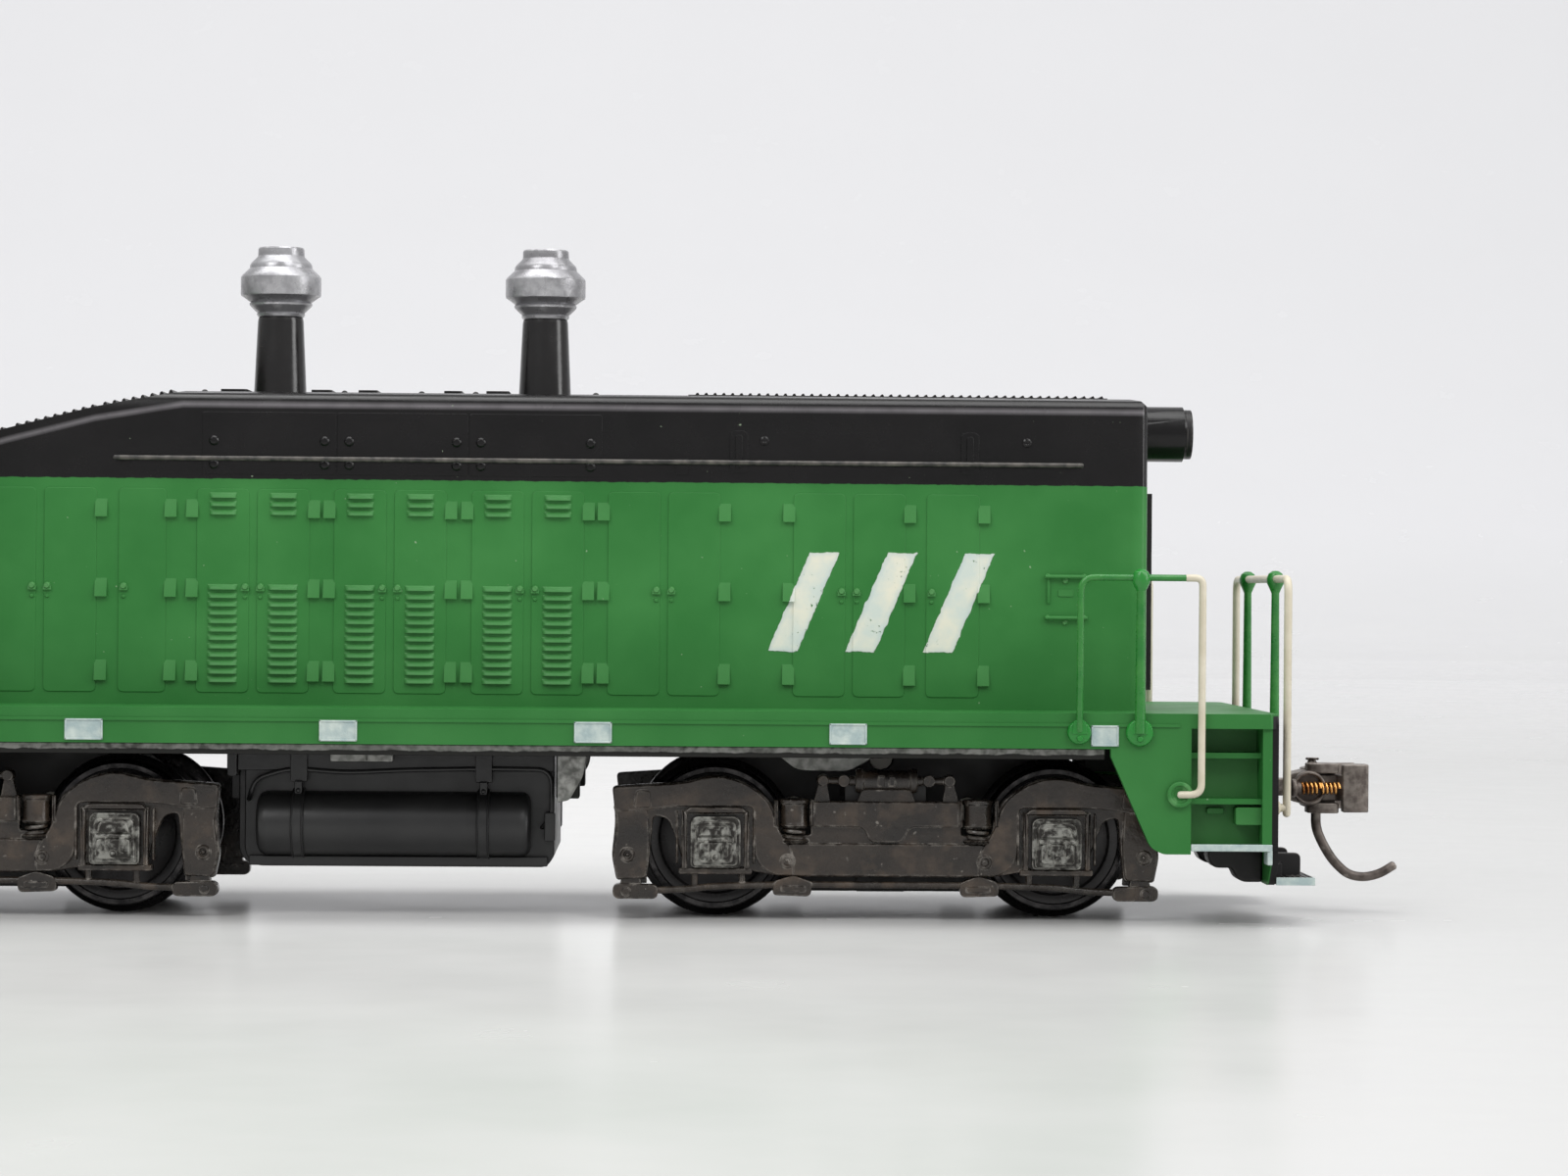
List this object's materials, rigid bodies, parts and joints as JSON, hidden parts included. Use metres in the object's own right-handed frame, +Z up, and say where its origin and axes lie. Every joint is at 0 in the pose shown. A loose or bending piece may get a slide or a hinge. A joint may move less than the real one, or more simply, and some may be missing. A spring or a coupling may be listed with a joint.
{
  "type": "model diesel switcher locomotive",
  "caption": "HO scale end-cab diesel switcher with a long louvred hood, tall exhaust stacks, geared swivelling trucks and knuckle couplers.",
  "frame": {"origin": "midway between the two truck centres, on the centreline, at the bottom of the wheel flanges", "axes": "+X towards the hood end (front), +Y to the model's left, +Z up"},
  "size_m": [0.1656, 0.0376, 0.0558],
  "materials": {
    "green_plastic": "hand-painted satin, slightly worn",
    "black_plastic": "satin",
    "cast_frame": "bare zinc casting, dull",
    "silver_paint": "brushed-on silver paint",
    "truck_brown": "weathered brown-black",
    "cream_paint": "hand-painted wire, worn",
    "green_wire": "hand-painted wire",
    "brass_turned": "turned",
    "motor_steel": "plated",
    "gear_nylon": "moulded",
    "clear_plastic": "clear moulding",
    "wheel_metal": "blackened tread and face",
    "coupler_metal": "blackened casting",
    "spring_bronze": "phosphor bronze wire"
  },
  "bodies": {
    "chassis": {"frame_casting": "cast_frame", "fuel_tank": "black_plastic", "body_shell": "green_plastic", "cab_shell": "green_plastic", "cab_glazing": "clear_plastic", "front_grille": "black_plastic", "headlight_lens_front": "clear_plastic", "headlight_lens_rear": "clear_plastic", "stack_front": "black_plastic", "stack_rear": "black_plastic", "spark_arrestor_front": "silver_paint", "spark_arrestor_rear": "silver_paint", "grab_rail_left": "black_plastic", "grab_rail_right": "black_plastic", "motor_case": "motor_steel", "handrail_front_left": "green_wire", "handrail_front_right": "green_wire", "handrail_rear_left": "green_wire", "handrail_rear_right": "green_wire", "end_rail_front": "cream_paint", "end_rail_rear": "cream_paint", "footboard_front": "black_plastic", "footboard_rear": "black_plastic", "coupler_lid_front": "black_plastic", "coupler_lid_rear": "black_plastic"},
    "drive_line": {"motor_armature": "motor_steel", "flywheel_front": "brass_turned", "flywheel_rear": "brass_turned", "drive_shaft_front": "gear_nylon", "drive_shaft_rear": "gear_nylon"},
    "truck_front": {"truck_front_gearbox": "black_plastic", "truck_front_bottom_cover": "black_plastic", "truck_front_sideframe_left": "truck_brown", "truck_front_sideframe_right": "truck_brown"},
    "truck_front_worm": {"truck_front_worm": "motor_steel"},
    "truck_front_worm_gear": {"truck_front_worm_gear": "gear_nylon"},
    "truck_front_idler_outer": {"truck_front_idler_outer": "gear_nylon"},
    "truck_front_axle_outer": {"truck_front_wheelset_outer": "wheel_metal", "truck_front_axle_gear_outer": "gear_nylon"},
    "truck_front_idler_inner": {"truck_front_idler_inner": "gear_nylon"},
    "truck_front_axle_inner": {"truck_front_wheelset_inner": "wheel_metal", "truck_front_axle_gear_inner": "gear_nylon"},
    "coupler_front": {"coupler_front": "coupler_metal", "knuckle_spring_front": "spring_bronze"},
    "knuckle_front": {"knuckle_front": "coupler_metal"},
    "truck_rear": {"truck_rear_gearbox": "black_plastic", "truck_rear_bottom_cover": "black_plastic", "truck_rear_sideframe_left": "truck_brown", "truck_rear_sideframe_right": "truck_brown"},
    "truck_rear_worm": {"truck_rear_worm": "motor_steel"},
    "truck_rear_worm_gear": {"truck_rear_worm_gear": "gear_nylon"},
    "truck_rear_idler_outer": {"truck_rear_idler_outer": "gear_nylon"},
    "truck_rear_axle_outer": {"truck_rear_wheelset_outer": "wheel_metal", "truck_rear_axle_gear_outer": "gear_nylon"},
    "truck_rear_idler_inner": {"truck_rear_idler_inner": "gear_nylon"},
    "truck_rear_axle_inner": {"truck_rear_wheelset_inner": "wheel_metal", "truck_rear_axle_gear_inner": "gear_nylon"},
    "coupler_rear": {"coupler_rear": "coupler_metal", "knuckle_spring_rear": "spring_bronze"},
    "knuckle_rear": {"knuckle_rear": "coupler_metal"}
  },
  "joints": [
    {"name": "motor_spin", "type": "hinge", "parent": "chassis", "child": "drive_line", "pos_m": [0, 0, 0.0206], "axis": [1, 0, 0], "continuous": true},
    {"name": "truck_front_swivel", "type": "hinge", "parent": "chassis", "child": "truck_front", "pos_m": [0.0385, 0, 0.0135], "axis": [0, 0, 1], "range_deg": [-6, 6]},
    {"name": "truck_front_worm_spin", "type": "hinge", "parent": "truck_front", "child": "truck_front_worm", "pos_m": [0.0385, 0, 0.0206], "axis": [1, 0, 0], "continuous": true},
    {"name": "truck_front_worm_gear_spin", "type": "hinge", "parent": "truck_front", "child": "truck_front_worm_gear", "pos_m": [0.0385, 0, 0.013], "axis": [0, 1, 0], "continuous": true},
    {"name": "truck_front_idler_outer_spin", "type": "hinge", "parent": "truck_front", "child": "truck_front_idler_outer", "pos_m": [0.04581, 0, 0.00867], "axis": [0, 1, 0], "continuous": true},
    {"name": "truck_front_axle_outer_spin", "type": "hinge", "parent": "truck_front", "child": "truck_front_axle_outer", "pos_m": [0.0525, 0, 0.0066], "axis": [0, 1, 0], "continuous": true},
    {"name": "truck_front_idler_inner_spin", "type": "hinge", "parent": "truck_front", "child": "truck_front_idler_inner", "pos_m": [0.03119, 0, 0.00867], "axis": [0, 1, 0], "continuous": true},
    {"name": "truck_front_axle_inner_spin", "type": "hinge", "parent": "truck_front", "child": "truck_front_axle_inner", "pos_m": [0.0245, 0, 0.0066], "axis": [0, 1, 0], "continuous": true},
    {"name": "coupler_front_swing", "type": "hinge", "parent": "chassis", "child": "coupler_front", "pos_m": [0.063, 0, 0.0106], "axis": [0, 0, 1], "range_deg": [-14, 14], "stiffness_Nm_per_rad": 0.0003},
    {"name": "knuckle_front_open", "type": "hinge", "parent": "coupler_front", "child": "knuckle_front", "pos_m": [0.07575, -0.0011, 0.0106], "axis": [0, 0, 1], "range_deg": [-30, 0], "stiffness_Nm_per_rad": 0.0001},
    {"name": "truck_rear_swivel", "type": "hinge", "parent": "chassis", "child": "truck_rear", "pos_m": [-0.0385, 0, 0.0135], "axis": [0, 0, 1], "range_deg": [-6, 6]},
    {"name": "truck_rear_worm_spin", "type": "hinge", "parent": "truck_rear", "child": "truck_rear_worm", "pos_m": [-0.0385, 0, 0.0206], "axis": [1, 0, 0], "continuous": true},
    {"name": "truck_rear_worm_gear_spin", "type": "hinge", "parent": "truck_rear", "child": "truck_rear_worm_gear", "pos_m": [-0.0385, 0, 0.013], "axis": [0, 1, 0], "continuous": true},
    {"name": "truck_rear_idler_outer_spin", "type": "hinge", "parent": "truck_rear", "child": "truck_rear_idler_outer", "pos_m": [-0.04581, 0, 0.00867], "axis": [0, 1, 0], "continuous": true},
    {"name": "truck_rear_axle_outer_spin", "type": "hinge", "parent": "truck_rear", "child": "truck_rear_axle_outer", "pos_m": [-0.0525, 0, 0.0066], "axis": [0, 1, 0], "continuous": true},
    {"name": "truck_rear_idler_inner_spin", "type": "hinge", "parent": "truck_rear", "child": "truck_rear_idler_inner", "pos_m": [-0.03119, 0, 0.00867], "axis": [0, 1, 0], "continuous": true},
    {"name": "truck_rear_axle_inner_spin", "type": "hinge", "parent": "truck_rear", "child": "truck_rear_axle_inner", "pos_m": [-0.0245, 0, 0.0066], "axis": [0, 1, 0], "continuous": true},
    {"name": "coupler_rear_swing", "type": "hinge", "parent": "chassis", "child": "coupler_rear", "pos_m": [-0.063, 0, 0.0106], "axis": [0, 0, 1], "range_deg": [-14, 14], "stiffness_Nm_per_rad": 0.0003},
    {"name": "knuckle_rear_open", "type": "hinge", "parent": "coupler_rear", "child": "knuckle_rear", "pos_m": [-0.07575, 0.0011, 0.0106], "axis": [0, 0, 1], "range_deg": [-30, 0], "stiffness_Nm_per_rad": 0.0001}
  ],
  "couplings": [
    {"joint": "truck_front_worm_spin", "follows": "motor_spin", "ratio": 1},
    {"joint": "truck_front_worm_gear_spin", "follows": "motor_spin", "ratio": -0.05},
    {"joint": "truck_front_idler_outer_spin", "follows": "motor_spin", "ratio": 0.071429},
    {"joint": "truck_front_axle_outer_spin", "follows": "motor_spin", "ratio": -0.071429},
    {"joint": "truck_front_idler_inner_spin", "follows": "motor_spin", "ratio": 0.071429},
    {"joint": "truck_front_axle_inner_spin", "follows": "motor_spin", "ratio": -0.071429},
    {"joint": "truck_rear_worm_spin", "follows": "motor_spin", "ratio": 1},
    {"joint": "truck_rear_worm_gear_spin", "follows": "motor_spin", "ratio": -0.05},
    {"joint": "truck_rear_idler_outer_spin", "follows": "motor_spin", "ratio": 0.071429},
    {"joint": "truck_rear_axle_outer_spin", "follows": "motor_spin", "ratio": -0.071429},
    {"joint": "truck_rear_idler_inner_spin", "follows": "motor_spin", "ratio": 0.071429},
    {"joint": "truck_rear_axle_inner_spin", "follows": "motor_spin", "ratio": -0.071429}
  ]
}
